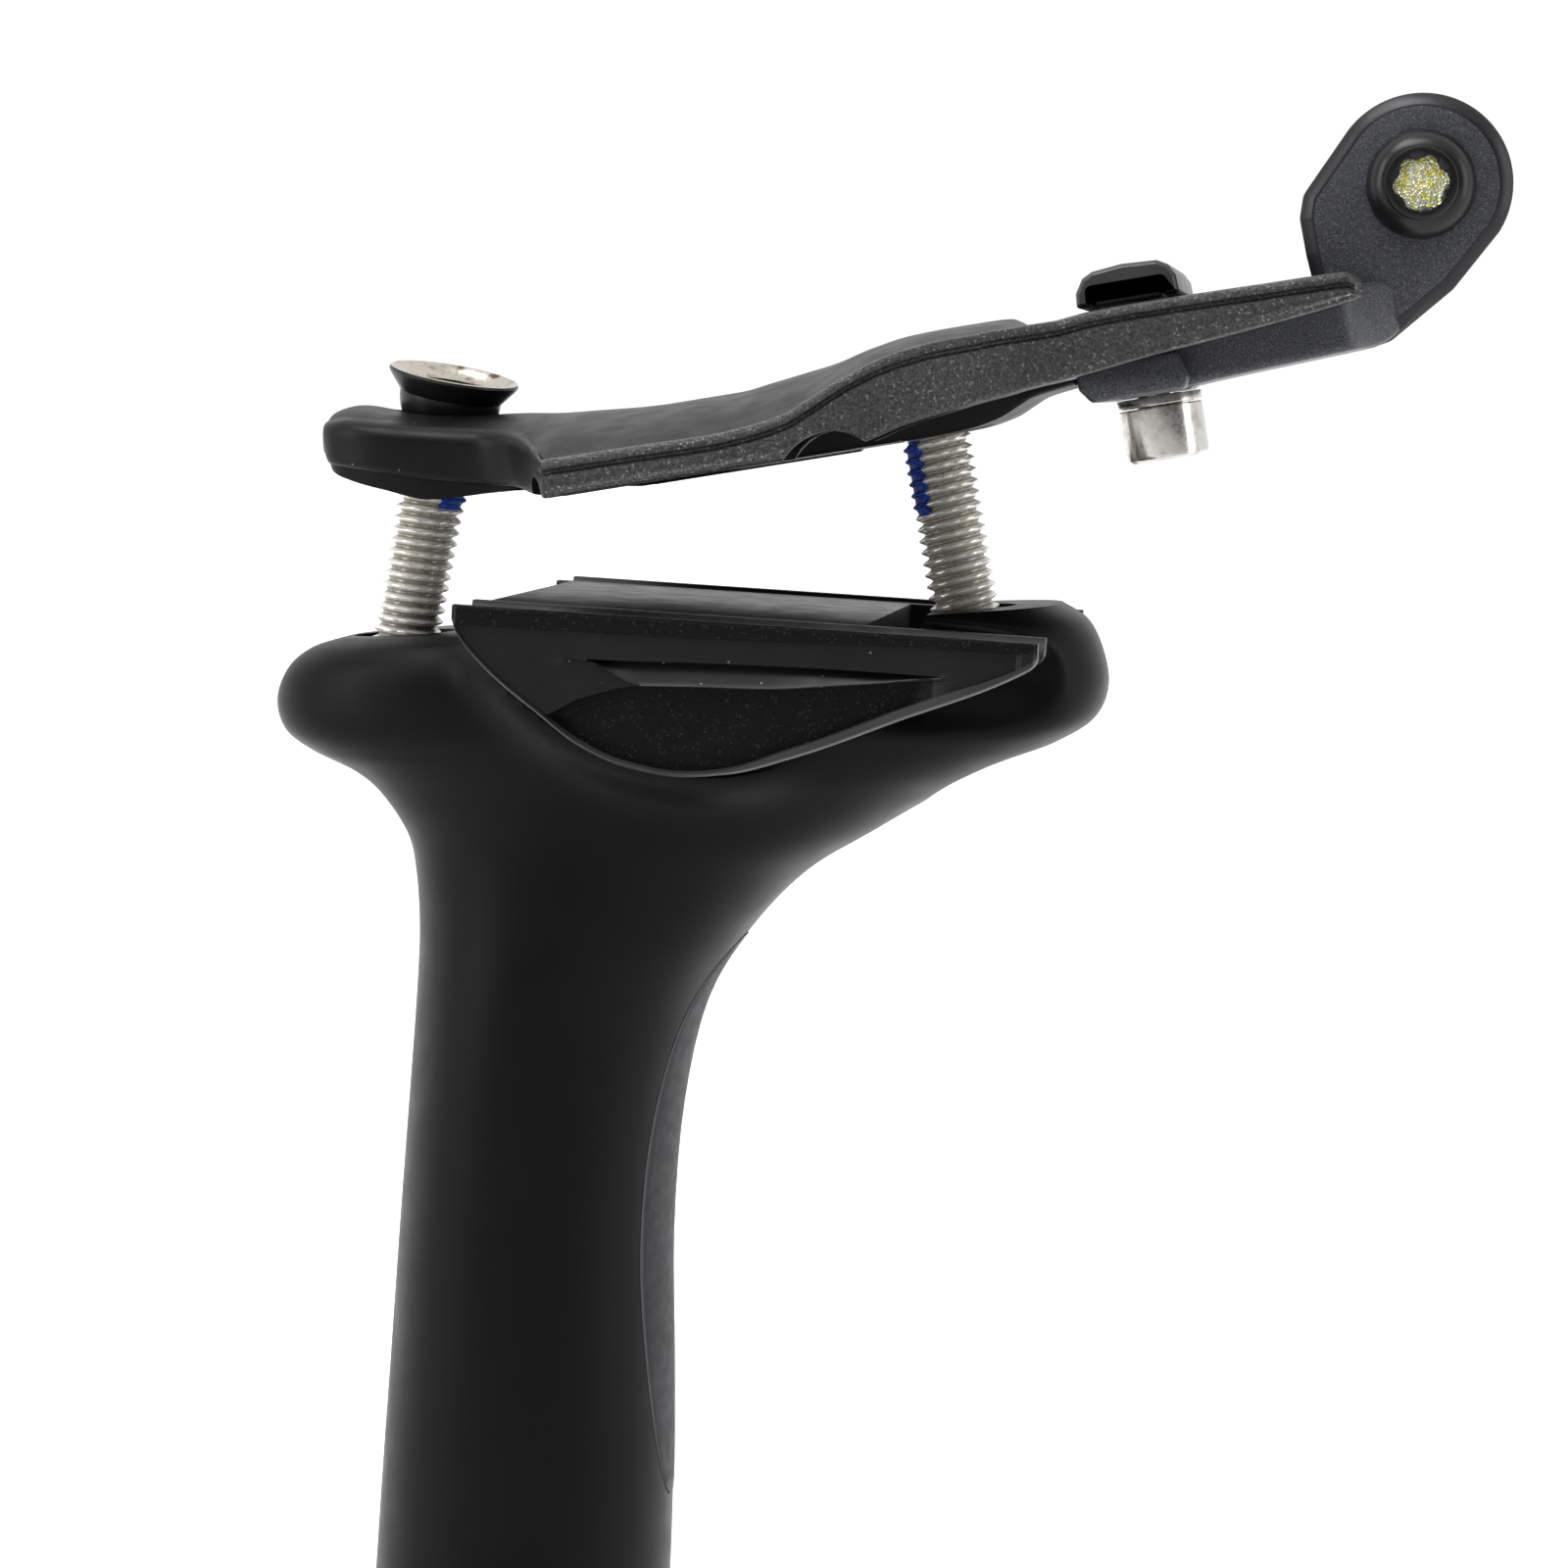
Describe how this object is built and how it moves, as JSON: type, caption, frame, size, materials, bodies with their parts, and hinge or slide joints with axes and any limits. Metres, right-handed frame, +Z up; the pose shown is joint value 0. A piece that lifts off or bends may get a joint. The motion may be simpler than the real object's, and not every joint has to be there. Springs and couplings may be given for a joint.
{
  "type": "seatpost",
  "caption": "Black carbon seatpost with a flexing shaft, open two-bolt saddle-rail clamp and a screwed-on rear light bracket.",
  "frame": {"origin": "centre of the post's lower end, on its axis", "axes": "+Z up along the post, +X to the rear of the bicycle, +Y to its right"},
  "size_m": [0.1047, 0.0528, 0.3954],
  "materials": {
    "carbon": "satin black lacquer over carbon fibre",
    "panel_grey": "matt lilac grey film",
    "anodised": "black anodised, fine sparkle",
    "cast_black": "black coated casting, sanded grain",
    "stainless": "turned stainless steel",
    "black_steel": "black oxide",
    "nut_steel": "dark plated steel, worn on the dish",
    "insert_alloy": "plain machined alloy",
    "patch_blue": "matt blue nylon",
    "bracket_black": "blue-black anodised, sparkle"
  },
  "bodies": {
    "post": {"post_body": "carbon", "rear_panel": "panel_grey", "front_seat_insert": "insert_alloy", "rear_seat_insert": "insert_alloy", "rear_bolt_washer": "insert_alloy"},
    "cradle": {"lower_cradle": "anodised"},
    "rear_nut": {"rear_clamp_nut": "nut_steel"},
    "clamp": {"upper_clamp": "cast_black"},
    "front_nut": {"front_clamp_nut": "nut_steel"},
    "front_seat": {"front_bolt_washer": "insert_alloy"},
    "front_screw": {"front_bolt": "stainless", "front_bolt_patch": "patch_blue"},
    "rear_screw": {"rear_bolt": "stainless", "rear_bolt_patch": "patch_blue"},
    "bracket": {"light_bracket": "bracket_black", "nut_block": "black_steel", "nut_bar": "insert_alloy", "bracket_screw": "stainless", "bracket_washer": "stainless", "lug_sleeve": "insert_alloy", "lug_screw": "black_steel", "lug_washer": "stainless", "lug_nut": "stainless"}
  },
  "joints": [
    {"name": "cradle_tilt", "type": "hinge", "parent": "post", "child": "cradle", "pos_m": [0.014, 0, 0.357], "axis": [0, 1, 0], "range_deg": [-5, 5]},
    {"name": "clamp_close", "type": "slide", "parent": "post", "child": "rear_nut", "axis": [-0.2267, 0, 0.974], "range_m": [-0.0125, 0.001]},
    {"name": "clamp_rock", "type": "hinge", "parent": "rear_nut", "child": "clamp", "pos_m": [0.0298, 0, 0.3701], "axis": [0, 1, 0], "range_deg": [-1.1, 12.6]},
    {"name": "front_nut_pivot", "type": "hinge", "parent": "clamp", "child": "front_nut", "pos_m": [-0.01205, 0, 0.36515], "axis": [0, 1, 0], "range_deg": [-5.2, 0.6]},
    {"name": "front_bolt_swing", "type": "hinge", "parent": "post", "child": "front_seat", "pos_m": [-0.01575, 0, 0.33851], "axis": [0, 1, 0], "range_deg": [-0.8, 7.7]},
    {"name": "front_bolt_turn", "type": "hinge", "parent": "front_seat", "child": "front_screw", "pos_m": [-0.01575, 0, 0.33851], "axis": [0.1374, 0, 0.9905], "range_deg": [-75, 885]},
    {"name": "rear_bolt_turn", "type": "hinge", "parent": "post", "child": "rear_screw", "pos_m": [0.03601, 0, 0.34341], "axis": [-0.2267, 0, 0.974], "range_deg": [-365, 4510]},
    {"name": "bracket_slide", "type": "slide", "parent": "clamp", "child": "bracket", "axis": [0.9763, 0, 0.2164], "range_m": [0, 0.008]}
  ],
  "couplings": [
    {"joint": "clamp_rock", "follows": "clamp_close", "rad_per_m": -17.453},
    {"joint": "front_nut_pivot", "follows": "clamp_close", "rad_per_m": 7.136},
    {"joint": "front_bolt_swing", "follows": "clamp_close", "rad_per_m": -10.317},
    {"joint": "front_bolt_turn", "follows": "clamp_close", "rad_per_m": -1213.1},
    {"joint": "rear_bolt_turn", "follows": "clamp_close", "rad_per_m": -6283.2}
  ]
}
